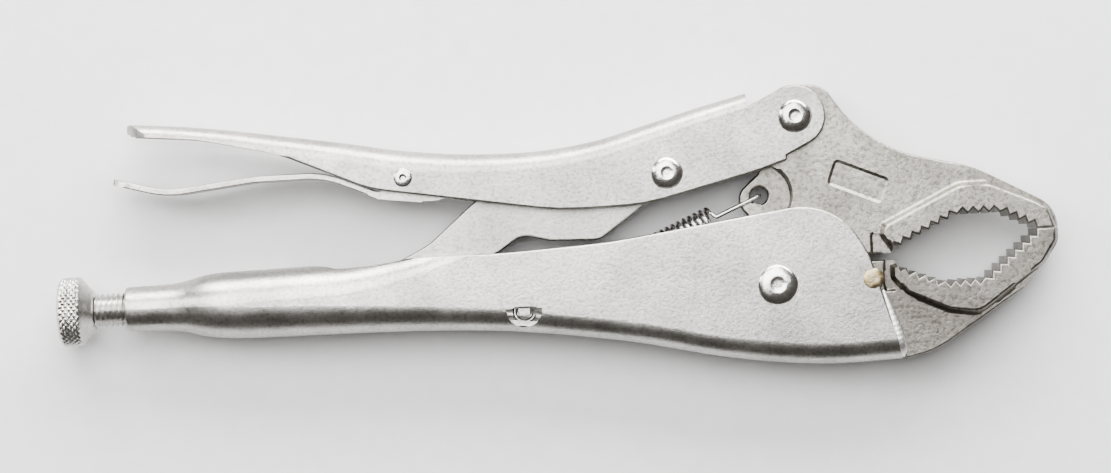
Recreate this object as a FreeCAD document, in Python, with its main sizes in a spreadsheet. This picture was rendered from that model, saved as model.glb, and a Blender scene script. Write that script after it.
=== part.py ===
import FreeCAD, Part
import math
import os
import Sketcher

# Curved-jaw locking pliers, lying on one side with the jaws shut and the handles locked.
# +X points along the adjusting screw towards the jaws, +Y from the fixed handle to the lever,
# and +Z is the thickness. Outlines are given in millimetres from the axis of the jaw rivet, at
# mid thickness. The frame_shift cells then move every piece to the part's own frame.

V = FreeCAD.Vector
doc = FreeCAD.newDocument("locking_pliers")

# ---------------------------------------------------------------- driving dimensions

DIMENSIONS = [
    # pivots, measured from the jaw rivet
    ("lever_pivot_x", 5.75), ("lever_pivot_y", 39.07),
    ("link_pivot_x", -24.6), ("link_pivot_y", 27.2),
    ("foot_x", -100.6), ("screw_axis_y", 1.2),
    ("release_pivot_x", -86.0), ("release_pivot_y", 28.9),
    ("spring_hole_x", -3.0), ("spring_hole_y", 20.9),
    # pressed handle and lever
    ("handle_width", 16.0), ("handle_wall", 2.4),
    ("lever_width", 15.6), ("lever_wall", 2.2),
    # forged and stamped pieces
    ("jaw_thickness", 10.8), ("pad_thickness", 14.4), ("ear_thickness", 4.4),
    ("hub_radius", 10.5), ("hub_clearance", 0.6),
    ("link_thickness", 7.0), ("release_width", 9.8), ("release_sheet", 1.5),
    ("mark_depth", 0.5), ("tooth_depth", 1.3), ("cutter_relief", 1.2),
    # rivets
    ("jaw_rivet_diameter", 6.4), ("jaw_rivet_head", 9.2),
    ("lever_rivet_diameter", 5.4), ("lever_rivet_head", 7.8),
    ("link_rivet_diameter", 5.2), ("link_rivet_head", 7.4),
    ("release_rivet_diameter", 3.0), ("release_rivet_head", 4.2),
    ("head_height", 1.2), ("running_clearance", 0.05),
    ("slot_reach_x", -4.3), ("slot_reach_y", 1.3), ("slot_clearance", 0.82),
    # adjusting screw
    ("screw_diameter", 8.0), ("screw_tip_x", -105.5), ("screw_neck_x", -160.0),
    ("screw_end_x", -168.3), ("screw_head_diameter", 16.2), ("socket_width", 5.0),
    ("spigot_diameter", 5.0),
    # spring
    ("wire_diameter", 1.0), ("coil_diameter", 5.5), ("coil_turns", 28), ("coil_length", 40.6),
    # where the frame's origin is, worked out below from the finished pieces
    ("frame_shift_x", 0), ("frame_shift_y", 0), ("frame_shift_z", 0),
]

sheet = doc.addObject("Spreadsheet::Sheet", "Dimensions")
for row, (alias, value) in enumerate(DIMENSIONS, start=1):
    sheet.set(f"A{row}", alias)
    sheet.set(f"B{row}", str(value))
    sheet.setAlias(f"B{row}", alias)
doc.recompute()


def size(alias):
    """The value of one cell of the sheet."""
    return float(getattr(sheet, alias))


LEVER_PIVOT = V(size("lever_pivot_x"), size("lever_pivot_y"))
LINK_PIVOT = V(size("link_pivot_x"), size("link_pivot_y"))
FOOT = V(size("foot_x"), size("screw_axis_y"))
RELEASE_PIVOT = V(size("release_pivot_x"), size("release_pivot_y"))
SPRING_HOLE = V(size("spring_hole_x"), size("spring_hole_y"))
FAR = 40.0                      # comfortably outside the object, for cutting shapes

# ---------------------------------------------------------------- helpers

pieces = []


def place(piece, x="0", y="0", z="0"):
    """Put a finished piece at x, y, z from the jaw rivet, in the part's frame."""
    for axis, offset in zip("xyz", (x, y, z)):
        piece.setExpression(f"Placement.Base.{axis}", f"Dimensions.frame_shift_{axis} + {offset}")
    pieces.append(piece)


def new_body(label):
    body = doc.addObject("PartDesign::Body", label)
    body.Label = label
    return body


def sketch_on(body, role, name, offset=None):
    """A sketch on one of the body's own origin planes, moved along the plane's normal."""
    sketch = body.newObject("Sketcher::SketchObject", name)
    plane = next(f for f in body.Origin.OriginFeatures if f.Role == role)
    sketch.AttachmentSupport = [(plane, "")]
    sketch.MapMode = "FlatFace"
    if offset is not None:
        sketch.setExpression("AttachmentOffset.Base.z", str(offset))
    return sketch


def outline(sketch, corners):
    """Draw a closed outline. Each corner is (x, y) or (x, y, radius of its rounding)."""
    spans = []
    for i, corner in enumerate(corners):
        point = V(corner[0], corner[1])
        behind = V(*corners[i - 1][:2]) - point
        ahead = V(*corners[(i + 1) % len(corners)][:2]) - point
        behind.normalize()
        ahead.normalize()
        radius = corner[2] if len(corner) == 3 else 0
        if radius == 0:
            spans.append((point, None, point))
            continue
        half_angle = behind.getAngle(ahead) / 2
        reach = radius / math.tan(half_angle)
        inward = (behind + ahead).normalize()
        middle = point + inward * (radius / math.sin(half_angle) - radius)
        spans.append((point + behind * reach, middle, point + ahead * reach))
    for i, (start, middle, end) in enumerate(spans):
        if middle is not None:
            sketch.addGeometry(Part.Arc(start, middle, end))
        corner = V(*corners[i][:2])
        following = V(*corners[(i + 1) % len(corners)][:2])
        next_start = spans[(i + 1) % len(spans)][0]
        if (next_start - end).dot(following - corner) <= 0:
            raise ValueError(f"{sketch.Name}: the rounding at corner {i} or the next is too large")
        sketch.addGeometry(Part.LineSegment(end, next_start))


def circle(sketch, x, y, diameter):
    """Draw a circle whose place and diameter are expressions on the sheet."""
    index = sketch.addGeometry(Part.Circle(V(0, 0), V(0, 0, 1), 1.0))
    for kind, name, value in (("DistanceX", "across", x), ("DistanceY", "up", y)):
        sketch.addConstraint(Sketcher.Constraint(kind, -1, 1, index, 3, 1.0))
        sketch.renameConstraint(sketch.ConstraintCount - 1, f"{name}_{index}")
        sketch.setExpression(f"Constraints.{name}_{index}", value)
    sketch.addConstraint(Sketcher.Constraint("Diameter", index, 2.0))
    sketch.renameConstraint(sketch.ConstraintCount - 1, f"diameter_{index}")
    sketch.setExpression(f"Constraints.diameter_{index}", diameter)


def extrude(body, kind, sketch, name, length):
    """A Pad or Pocket to both sides of the sketch, its length an expression on the sheet."""
    feature = body.newObject(f"PartDesign::{kind}", name)
    feature.Profile = sketch
    feature.SideType = "Symmetric"
    feature.setExpression("Length", str(length))
    return feature


def pad(body, name, corners, length):
    sketch = sketch_on(body, "XY_Plane", name + "_outline")
    outline(sketch, corners)
    return extrude(body, "Pad", sketch, name, length)


def pocket(body, name, corners, length, role="XY_Plane", offset=None):
    sketch = sketch_on(body, role, name + "_outline", offset)
    outline(sketch, corners)
    return extrude(body, "Pocket", sketch, name, length)


def relieve(body, name, corners, thickness):
    """Sink an outline into both faces of a jaw of the given thickness, beside its wire cutter."""
    for face, side in (("top", 1), ("bottom", -1)):
        sketch = sketch_on(body, "XY_Plane", f"{name}_{face}_outline", f"{side} * {thickness} / 2")
        outline(sketch, corners)
        extrude(body, "Pocket", sketch, f"{name}_{face}", "2 * Dimensions.cutter_relief")


def bore(body, name, x, y, diameter):
    """A round hole right through the body along Z."""
    sketch = sketch_on(body, "XY_Plane", name + "_circle")
    circle(sketch, x, y, diameter)
    return extrude(body, "Pocket", sketch, name, FAR)


def channel_loft(body, kind, name, stations):
    """A loft through rounded rectangles, each (x, half width, low, high, low radius, high radius)."""
    sections = []
    for i, (x, half_width, low, high, low_radius, high_radius) in enumerate(stations):
        section = sketch_on(body, "YZ_Plane", f"{name}_section_{i}", x)
        outline(section, [
            (low, -half_width, low_radius), (high, -half_width, high_radius),
            (high, half_width, high_radius), (low, half_width, low_radius),
        ])
        sections.append(section)
    loft = body.newObject(f"PartDesign::{kind}", name)
    loft.Profile = sections[0]
    loft.Sections = sections[1:]
    loft.Ruled = True
    return loft


def shrunk(stations, wall):
    """The stations of the hollow inside a channel of the given wall."""
    least = 0.6
    return [
        (x, half_width - wall, low + wall, high - wall,
         max(low_radius - wall, least), max(high_radius - wall, least))
        for x, half_width, low, high, low_radius, high_radius in stations
    ]


def revolve(body, name, role, corners, axis, offset=None):
    sketch = sketch_on(body, role, name + "_outline", offset)
    outline(sketch, corners)
    feature = body.newObject("PartDesign::Revolution", name)
    feature.Profile = sketch
    feature.ReferenceAxis = (sketch, [axis])
    return feature


def teeth(start, end, count, depth):
    """Saw teeth from start to end: valleys lie to the left of that direction, by depth."""
    run = end - start
    left = V(-run.y, run.x).normalize() * depth
    points = []
    for i in range(count):
        valley = start + run * ((i + 0.5) / count) + left
        tip = start + run * ((i + 1) / count)
        points += [(valley.x, valley.y), (tip.x, tip.y)]
    return points


def ribbon(points, thickness):
    """The outline of a bent strip whose middle line has the given (x, y, radius) corners."""
    sides = [[], []]
    for i, (x, y, radius) in enumerate(points):
        here = V(x, y)
        before = here - V(*points[i - 1][:2]) if i > 0 else None
        after = V(*points[i + 1][:2]) - here if i + 1 < len(points) else None
        before = (before or after).normalize()
        after = (after or before).normalize()
        turn = before.cross(after).z
        normal = V(-(before + after).y, (before + after).x).normalize()
        half = thickness / 2 / normal.dot(V(-before.y, before.x))
        for side, sign in zip(sides, (1, -1)):
            corner = here + normal * half * sign
            bend = radius - math.copysign(thickness / 2, turn) * sign if radius else 0
            side.append((corner.x, corner.y, bend))
    return sides[0] + sides[1][::-1]


# ---------------------------------------------------------------- fixed handle and jaw

# The front edge of the fixed handle is a straight line, and the fixed jaw is welded along it.
FRONT_EDGE_TOP = V(21.75, 5.8)
FRONT_EDGE_FOOT = V(29.2, -19.6)
BRAZE_X = 22.2
BRAZE_Y = 0.3
BRAZE_DIAMETER = 5.4
# The spring's rear loop holds on a tab that is lanced from the upper cheek and bent inwards.
ANCHOR = V(-59.2, -3.7)


def make_fixed_handle():
    """A pressed channel whose rear curls into a tube round the screw, with a threaded neck."""
    body = new_body("fixed_handle")
    wall = size("handle_wall")
    axis = size("screw_axis_y")
    half = size("handle_width") / 2
    neck = [
        (x, radius, axis - radius, axis + radius, 0.95 * radius, 0.95 * radius)
        for x, radius in ((-152.6, 5.2), (-146.0, 5.4), (-140.0, 5.7), (-136.5, 6.8), (-132.5, 7.6))
    ]
    grip = [
        (-126.0, half - 0.1, -6.8, 9.0, 7.4, 7.4),
        (-112.0, half, -6.9, 9.3, 7.2, 7.2),
        (-98.0, half, -6.9, 9.7, 6.6, 6.8),
        (-82.0, half, -7.1, 12.0, 6.0, 5.4),
        (-65.0, half, -7.9, 16.0, 5.4, 4.0),
        (-50.0, half, -9.5, 20.0, 5.0, 3.4),
        (-32.0, half, -12.3, 23.0, 5.0, 3.2),
        (-11.0, half, -16.7, 25.0, 5.0, 3.2),
        (10.0, half, -19.2, 25.0, 5.0, 3.2),
        (33.0, half, -18.6, 25.0, 5.0, 3.2),
    ]
    channel_loft(body, "AdditiveLoft", "pressed_shape", neck + grip)
    channel_loft(body, "SubtractiveLoft", "hollow", shrunk(neck[-1:] + grip, wall))
    thread_bore = sketch_on(body, "YZ_Plane", "neck_circle", -143)
    circle(thread_bore, "Dimensions.screw_axis_y", "0",
           "Dimensions.screw_diameter + 2 * Dimensions.running_clearance")
    extrude(body, "Pocket", thread_bore, "neck_bore", 24)
    # everything above the top edge and in front of the front edge is trimmed off
    below = FRONT_EDGE_FOOT + (FRONT_EDGE_FOOT - FRONT_EDGE_TOP) * 0.2
    pocket(body, "trimmed_edge", [
        (-101, FAR), (-101, 9.9), (-64, 10.3, 150), (-39, 11.6, 120), (14.3, 19.3, 16),
        (FRONT_EDGE_TOP.x, FRONT_EDGE_TOP.y, 10), (below.x, below.y), (FAR, below.y), (FAR, FAR),
    ], FAR)
    # the mouth between the curled edges: a narrow seam that opens out to the full channel
    inside = half - wall - 0.2
    pocket(body, "mouth", [
        (-138.5, -0.6, 0.5), (-110, -0.7), (-103.5, -4.6, 3), (-90, -inside, 10), (FAR, -inside),
        (FAR, inside), (-90, inside, 10), (-103.5, 4.6, 3), (-110, 0.7), (-138.5, 0.6, 0.5),
    ], 22, "XZ_Plane", -(3 + 11))
    bore(body, "rivet_hole", "0", "0", "Dimensions.jaw_rivet_diameter")
    bore(body, "braze_notch", str(BRAZE_X), str(BRAZE_Y), str(BRAZE_DIAMETER))
    window = sketch_on(body, "XY_Plane", "tab_window_outline", "Dimensions.handle_width / 2")
    left, right, top = ANCHOR.x - 4.2, ANCHOR.x + 4.2, ANCHOR.y + 0.9
    outline(window, [(left, top), (left, top - 4.4, 4.1), (right, top - 4.4, 4.1), (right, top)])
    extrude(body, "Pocket", window, "tab_window", "3 * Dimensions.handle_wall")
    tab = sketch_on(body, "XY_Plane", "tab_outline", "Dimensions.handle_width / 2 - 3.2")
    outline(tab, [(ANCHOR.x - 1.4, top + 0.3), (ANCHOR.x - 1.4, top - 1.8, 0.5),
                  (ANCHOR.x + 1.4, top - 1.8, 0.5), (ANCHOR.x + 1.4, top + 0.3)])
    extrude(body, "Pad", tab, "tab", 6.2)
    place(body)


def make_fixed_jaw():
    """A forged jaw with a tongue that fills the front of the handle, and a proud toothed pad."""
    body = new_body("fixed_jaw")
    tongue_front = FRONT_EDGE_TOP + (FRONT_EDGE_FOOT - FRONT_EDGE_TOP) * 0.83
    recess = size("hub_radius") + size("hub_clearance")
    tongue_width = "(Dimensions.handle_width - 2 * Dimensions.handle_wall)"
    pad(body, "forging", [
        (27.3, 4.4), (recess, 4.4), (recess, -recess, recess), (-1.5, -recess), (-1.5, -13.2, 1),
        (tongue_front.x, -15.2), (FRONT_EDGE_FOOT.x + 0.2, -18.7), (36.5, -17.1, 20),
        (57.5, -3.6, 15), (66.0, 6.7, 5), (66.0, 10.25), (60.9, 10.25), (48.3, 1.5), (39.1, 1.0),
    ], tongue_width)
    relieve(body, "cutter_relief", [
        (25.2, 6.0), (25.2, -2.7, 0.6), (29.0, -2.7), (29.0, 6.0),
    ], tongue_width)
    pad(body, "bite_pad", [
        (28.0, 4.4), (27.5, 0.4, 1.5), (30.0, -3.4, 3), (39.8, -8.3, 6), (47.2, -9.3, 6),
        (62.6, 1.9, 4), (65.9, 7.2, 3), (65.9, 10.25), (60.9, 10.25),
    ], "Dimensions.pad_thickness")
    bite = [(28.0, 3.3)] + teeth(V(28.0, 3.3), V(39.1, -0.9), 5, -size("tooth_depth"))
    bite += teeth(V(39.1, -0.9), V(48.3, -0.6), 4, -size("tooth_depth"))
    bite += teeth(V(48.3, -0.6), V(60.9, 10.25), 7, -size("tooth_depth"))
    pocket(body, "teeth", bite + [(60.9, 20), (20, 20), (20, 4.4), (28.0, 4.4)], FAR)
    place(body)


def make_weld_beads():
    """The fillet of weld along the handle's front edge, one bead on each side of the jaw."""
    run = (FRONT_EDGE_FOOT - FRONT_EDGE_TOP).normalize()
    ahead = V(-run.y, run.x)
    up = V(0, 0, 1)
    start = FRONT_EDGE_TOP + run * 9.0
    beads = []
    for name, first, second, side in (("top", ahead, up, 1), ("bottom", -up, ahead, -1)):
        bead = doc.addObject("Part::Cylinder", f"weld_bead_{name}")
        bead.Radius = 1.7
        bead.Height = 16.0
        bead.Angle = 90
        height = side * (size("handle_width") / 2 - size("handle_wall"))
        turn = FreeCAD.Rotation(first, second, run, "XYZ")
        bead.Placement = FreeCAD.Placement(start + up * height, turn)
        beads.append(bead)
    both = doc.addObject("Part::Compound", "weld_beads")
    both.Label = "weld_beads"
    both.Links = beads
    place(both)


def make_braze_plugs():
    """Round plugs of braze that fill the notch in each cheek's front edge."""
    plugs = []
    for name in ("top", "bottom"):
        plug = doc.addObject("Part::Cylinder", f"braze_plug_{name}")
        plug.Radius = BRAZE_DIAMETER / 2
        plug.setExpression("Height", "Dimensions.handle_wall")
        plug.Placement.Base = V(BRAZE_X, BRAZE_Y, 0)
        height = "Dimensions.handle_width / 2 - Dimensions.handle_wall"
        if name == "bottom":
            height = "-Dimensions.handle_width / 2"
        plug.setExpression("Placement.Base.z", height)
        plugs.append(plug)
    both = doc.addObject("Part::Compound", "braze_plugs")
    both.Label = "braze_plugs"
    both.Links = plugs
    place(both)


# ---------------------------------------------------------------- moving jaw


def make_moving_jaw():
    """A forged bell crank: hub on the jaw rivet, horn to the lever, arm to the toothed pad."""
    body = new_body("moving_jaw")
    horn = LEVER_PIVOT
    hub = size("hub_radius")
    horn_radius = 6.6
    pad(body, "forging", [
        (27.1, 6.1), (hub, 6.1), (hub, -hub, hub - 0.2), (-hub, -hub, hub - 0.2),
        (-hub, 6, 4), (-5.0, 13.0, 4), (-5.5, 16.0, 2), (-9.3, 20.4, 4), (-0.7, 28.2, 2),
        (horn.x - horn_radius, horn.y + horn_radius + 1.0, horn_radius - 0.3),
        (horn.x + horn_radius + 0.6, horn.y + horn_radius + 0.4, horn_radius - 0.6),
        (21.95, 31.15, 32), (46.3, 25.66, 30), (66.0, 15.1, 7.4), (66.0, 10.35),
        (60.9, 10.35), (52.5, 12.5), (43.3, 13.0),
    ], "Dimensions.jaw_thickness")
    relieve(body, "cutter_relief", [
        (22.5, 5.0), (22.5, 10.8, 0.6), (26.0, 10.8), (29.0, 8.0), (29.0, 5.0),
    ], "Dimensions.jaw_thickness")
    pad(body, "bite_pad", [
        (27.1, 6.5), (24.4, 10.4, 1), (24.9, 13.0, 2), (43.2, 21.8, 6), (50.2, 21.9, 6),
        (60.4, 17.5, 8), (64.3, 15.4, 3), (65.9, 10.35), (60.9, 10.35),
    ], "Dimensions.pad_thickness")
    bite = [(27.1, 6.5)] + teeth(V(27.1, 6.7), V(42.6, 14.3), 7, size("tooth_depth"))
    bite += teeth(V(42.6, 14.3), V(52.5, 14.4), 4, size("tooth_depth"))
    bite += teeth(V(52.5, 14.4), V(60.9, 10.35), 4, size("tooth_depth"))
    pocket(body, "teeth", bite + [(60.9, 0), (27.1, 0)], FAR)
    ear_depth = (size("jaw_thickness") - size("ear_thickness")) / 2
    for name, side in (("top", 1), ("bottom", -1)):
        recess = sketch_on(body, "XY_Plane", f"ear_recess_{name}_circle",
                           f"{side} * Dimensions.jaw_thickness / 2")
        circle(recess, "Dimensions.spring_hole_x", "Dimensions.spring_hole_y", "14.8")
        extrude(body, "Pocket", recess, f"ear_recess_{name}", 2 * ear_depth)
    bore(body, "hub_bore", "0", "0",
         "Dimensions.jaw_rivet_diameter + 2 * Dimensions.running_clearance")
    bore(body, "horn_bore", "Dimensions.lever_pivot_x", "Dimensions.lever_pivot_y",
         "Dimensions.lever_rivet_diameter")
    bore(body, "spring_hole", "Dimensions.spring_hole_x", "Dimensions.spring_hole_y", "4.2")
    mark = sketch_on(body, "XY_Plane", "mark_recess_outline", "Dimensions.jaw_thickness / 2")
    outline(mark, [(12.4, 22.8, 0.8), (25.3, 17.3, 0.8), (27.6, 23.6, 0.8), (14.7, 29.0, 0.8)])
    extrude(body, "Pocket", mark, "mark_recess", "2 * Dimensions.mark_depth")
    place(body)


# ---------------------------------------------------------------- lever, link and release


def make_lever():
    """A pressed channel, open downwards, that thins to a flat tail and ends in two ears."""
    body = new_body("lever_handle")
    half = size("lever_width") / 2
    wall = size("lever_wall")
    low = 5.0
    web_end = -5.4
    stations = [
        (x, half_width, low, top, 1.0 + wall, radius)
        for x, half_width, top, radius in (
            (-151.0, 6.2, 44.4, 2.9), (-140.0, 6.6, 43.6, 3.2), (-128.0, 7.0, 42.2, 3.6),
            (-115.0, 7.4, 40.2, 4.0), (-100.0, 7.7, 37.8, 4.4), (-86.0, half, 35.3, 4.6),
            (-71.0, half, 33.8, 4.4), (-55.0, half, 33.7, 4.2), (-41.0, half, 35.5, 4.2),
            (-29.6, half, 38.5, 4.0), (-17.0, half, 42.0, 3.8), (web_end, half, 44.9, 3.4))
    ]
    channel_loft(body, "AdditiveLoft", "pressed_shape", stations)
    reach = size("lever_rivet_head") / 2 + 3.3
    along = V(math.cos(math.radians(26.5)), math.sin(math.radians(26.5)))
    across = V(-along.y, along.x)
    upper = LEVER_PIVOT + (along + across) * reach
    lower = LEVER_PIVOT + (along - across) * reach
    back = LEVER_PIVOT - along * 23 + across * reach
    heel = LEVER_PIVOT - along * 6 - across * reach
    round_end = reach - 0.05
    pad(body, "ears", [
        (back.x, back.y), (back.x, 18), (heel.x, 18), (heel.x, heel.y),
        (lower.x, lower.y, round_end), (upper.x, upper.y, round_end),
    ], "Dimensions.lever_width")
    hollow = shrunk(stations, wall)
    hollow[0] = (-154.0,) + hollow[0][1:]
    hollow[-1] = (web_end + 0.3,) + hollow[-1][1:]
    channel_loft(body, "SubtractiveLoft", "hollow", hollow)
    pocket(body, "fork", [(web_end, 0), (FAR, 0), (FAR, 60), (web_end, 60)],
           "Dimensions.lever_width - 2 * Dimensions.lever_wall")
    pocket(body, "trimmed_edge", [
        (-160, 42.4), (-134, 40.2, 40), (-115.5, 36.0, 40), (-94, 26.6, 25), (-50, 19.6, 60),
        (-30, 20.0, 40), (-3.5, 26.55, 60), (FAR, 47.8), (FAR, -5), (-160, -5),
    ], FAR)
    tail = -150.6
    tail_half = 6.4
    pocket(body, "round_tail", [
        (tail - 9, -FAR), (tail + 12, -FAR), (tail + 12, -tail_half), (tail, -tail_half, 6.2),
        (tail, tail_half, 6.2), (tail + 12, tail_half), (tail + 12, FAR), (tail - 9, FAR),
    ], 30, "XZ_Plane", -44)
    bore(body, "lever_rivet_hole", "Dimensions.lever_pivot_x", "Dimensions.lever_pivot_y",
         "Dimensions.lever_rivet_diameter + 2 * Dimensions.running_clearance")
    bore(body, "link_rivet_hole", "Dimensions.link_pivot_x", "Dimensions.link_pivot_y",
         "Dimensions.link_rivet_diameter")
    bore(body, "release_rivet_hole", "Dimensions.release_pivot_x", "Dimensions.release_pivot_y",
         "Dimensions.release_rivet_diameter")
    place(body)


def make_toggle_link():
    """A stamped link from the foot on the screw's tip to the rivet inside the lever."""
    body = new_body("toggle_link")
    end = 5.5
    along = V(math.cos(math.radians(18.9)), math.sin(math.radians(18.9)))
    across = V(-along.y, along.x)
    lower = LINK_PIVOT + (along - across) * end
    upper = LINK_PIVOT + (along + across) * end
    pad(body, "plate", [
        (FOOT.x - 5.4, FOOT.y + 2.4, 4.0), (FOOT.x - 2.2, FOOT.y - 6.1, 4.0),
        (-64.6, 10.4, 6), (-59.0, 14.3, 5), (-52.5, 12.6, 8), (-40.8, 12.3, 4), (-27.2, 21.9, 5),
        (lower.x, lower.y, end - 0.1), (upper.x, upper.y, end - 0.1),
        (-38.0, 31.6, 30), (-59.0, 27.6, 12), (-68.0, 24.2, 3.5), (-81.0, 13.0, 15),
        (-92.0, 7.6, 20),
    ], "Dimensions.link_thickness")
    radius = size("link_rivet_diameter") / 2 + size("slot_clearance")
    far = LINK_PIVOT + V(size("slot_reach_x"), size("slot_reach_y"))
    run = (far - LINK_PIVOT).normalize() * radius
    side = V(-run.y, run.x)
    slot_corners = (far + run + side, far + run - side, LINK_PIVOT - run - side,
                    LINK_PIVOT - run + side)
    pocket(body, "rivet_slot",
           [(corner.x, corner.y, radius - 0.01) for corner in slot_corners], FAR)
    place(body)


def make_release_lever():
    """A bent strip with two small ears on its rivet and a nose that pushes on the link."""
    body = new_body("release_lever")
    bends = [
        (-154.3, 31.2, 0), (-141.5, 27.8, 22), (-121.0, 30.2, 40), (-104.5, 30.4, 22),
        (-91.5, 24.9, 10), (-80.0, 23.6, 12), (-69.6, 25.4, 0),
    ]
    pad(body, "strip", ribbon(bends, size("release_sheet")), "Dimensions.release_width")
    pivot = RELEASE_PIVOT
    ear = sketch_on(body, "XY_Plane", "ear_outline",
                    "Dimensions.release_width / 2 - Dimensions.release_sheet")
    outline(ear, [
        (pivot.x - 6.5, pivot.y - 4.2), (pivot.x + 6.0, pivot.y - 4.9),
        (pivot.x + 2.6, pivot.y + 2.4, 2.3), (pivot.x - 2.6, pivot.y + 2.4, 2.3),
    ])
    ear_pad = body.newObject("PartDesign::Pad", "ear")
    ear_pad.Profile = ear
    ear_pad.setExpression("Length", "Dimensions.release_sheet")
    second_ear = body.newObject("PartDesign::Mirrored", "second_ear")
    second_ear.Originals = [ear_pad]
    mirror = next(f for f in body.Origin.OriginFeatures if f.Role == "XY_Plane")
    second_ear.MirrorPlane = (mirror, [""])
    body.Tip = second_ear
    tail = -155.0
    tail_half = size("release_width") / 2
    pocket(body, "round_tail", [
        (tail - 5, -FAR), (tail + 12, -FAR), (tail + 12, -tail_half), (tail, -tail_half, tail_half - 0.2),
        (tail, tail_half, tail_half - 0.2), (tail + 12, tail_half), (tail + 12, FAR), (tail - 5, FAR),
    ], 30, "XZ_Plane", -30)
    bore(body, "pivot_bore", "Dimensions.release_pivot_x", "Dimensions.release_pivot_y",
         "Dimensions.release_rivet_diameter + 2 * Dimensions.running_clearance")
    place(body)


# ---------------------------------------------------------------- rivets, screw and spring


def make_rivet(label, prefix, grip, top, x, y):
    """A rivet with a low dome on each end, peened in the middle. grip is the width it holds."""
    body = new_body(label)
    shaft = size(prefix + "_diameter") / 2
    head = size(prefix + "_head") / 2
    near = size(grip) / 2 + size("running_clearance")
    shoulder = near + 0.05
    dent = head * 0.3
    crown = head * 0.72
    revolve(body, "turned_shape", "XZ_Plane", [
        (0, -top + 0.3), (dent, -top), (crown, -top + 0.1, head * 0.2), (head, -shoulder - 0.2, 0.12),
        (head, -near), (shaft, -near), (shaft, near), (head, near),
        (head, shoulder + 0.2, 0.12), (crown, top - 0.1, head * 0.2), (dent, top), (0, top - 0.3),
    ], "V_Axis")
    place(body, x, y)


def make_screw():
    """The adjusting screw: a threaded shank, shown at its thread's outer diameter, and its head."""
    shank = new_body("screw_shank")
    radius = size("screw_diameter") / 2
    spigot = size("spigot_diameter") / 2
    tip = size("screw_tip_x")
    neck = size("screw_neck_x")
    end = size("screw_end_x")
    revolve(shank, "turned_shape", "XY_Plane", [
        (tip, 0), (tip, radius - 1.2), (tip - 1.2, radius), (neck, radius), (neck, spigot),
        (neck - 4.6, spigot), (neck - 4.6, 0),
    ], "H_Axis")
    place(shank, y="Dimensions.screw_axis_y")
    head = new_body("screw_head")
    rim = size("screw_head_diameter") / 2
    clear = spigot + size("running_clearance")
    gap = 0.1
    revolve(head, "turned_shape", "XY_Plane", [
        (neck - gap, clear), (neck - gap, radius + 0.9, 0.4), (neck - 3.0, rim, 0.5),
        (end + 0.9, rim, 0.6), (end, rim - 2.2, 3), (end, 0), (neck - 4.8, 0), (neck - 4.8, clear),
    ], "H_Axis")
    socket = sketch_on(head, "YZ_Plane", "socket_outline", "Dimensions.screw_end_x")
    reach = size("socket_width") / math.sqrt(3)
    outline(socket, [
        (reach * math.cos(math.radians(60 * i)), reach * math.sin(math.radians(60 * i)))
        for i in range(6)
    ])
    extrude(head, "Pocket", socket, "hex_socket", 6)
    place(head, y="Dimensions.screw_axis_y")


def sweep_wire(body, name, path, start, radius):
    """Sweep a round wire along a path that starts along X, at (x, y, z)."""
    ring = sketch_on(body, "YZ_Plane", name + "_circle", start.x)
    ring.addGeometry(Part.Circle(V(start.y, start.z), V(0, 0, 1), radius))
    pipe = body.newObject("PartDesign::AdditivePipe", name)
    pipe.Profile = ring
    pipe.Spine = path


def make_spring():
    """A tension spring along its own X axis, from the jaw's eye back to the tab in the handle."""
    body = new_body("tension_spring")
    wire = size("wire_diameter") / 2
    coil = size("coil_diameter") / 2
    run = SPRING_HOLE - ANCHOR
    coil_start = -12.3
    loop = 2.3
    coil_end = coil_start - size("coil_length")
    ring = sketch_on(body, "XZ_Plane", "coil_wire_circle")
    circle(ring, str(coil_end), "Dimensions.coil_diameter / 2", "Dimensions.wire_diameter")
    helix = body.newObject("PartDesign::AdditiveHelix", "coil")
    helix.Profile = ring
    helix.ReferenceAxis = (ring, ["H_Axis"])
    helix.Mode = "height-turns-growth"
    helix.setExpression("Height", "Dimensions.coil_length")
    helix.setExpression("Turns", "Dimensions.coil_turns")
    # the front hook crosses above the jaw's ear and drops through its hole
    front = sketch_on(body, "XZ_Plane", "front_hook_path")
    bend = 1.2
    front.addGeometry(Part.LineSegment(V(coil_start - 0.2, coil), V(-bend, coil)))
    middle = V(-bend, coil - bend) + V(1, 1).normalize() * bend
    front.addGeometry(Part.Arc(V(-bend, coil), middle, V(0, coil - bend)))
    front.addGeometry(Part.LineSegment(V(0, coil - bend), V(0, -coil - 0.6)))
    sweep_wire(body, "front_hook", front, V(coil_start - 0.2, 0, coil), wire)
    # the rear end runs beside the tab and turns back round it
    rear = sketch_on(body, "XY_Plane", "rear_loop_path", coil)
    centre = V(-run.Length, 0)
    leave = centre.x + 4.5
    rear.addGeometry(Part.LineSegment(V(coil_end + 0.2, 0), V(leave, 0)))
    tangent = math.acos(loop / 4.5)
    touch = centre + V(math.cos(tangent), math.sin(tangent)) * loop
    rear.addGeometry(Part.LineSegment(V(leave, 0), touch))
    halfway = tangent + math.radians(130)
    end = tangent + math.radians(260)
    rear.addGeometry(Part.Arc(touch, centre + V(math.cos(halfway), math.sin(halfway)) * loop,
                              centre + V(math.cos(end), math.sin(end)) * loop))
    sweep_wire(body, "rear_loop", rear, V(coil_end + 0.2, 0, coil), wire)
    place(body, "Dimensions.spring_hole_x", "Dimensions.spring_hole_y")
    fall = math.degrees(math.atan2(run.y, run.x))
    body.Placement.Rotation = FreeCAD.Rotation(V(0, 0, 1), fall)


# ---------------------------------------------------------------- build, check and write

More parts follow.
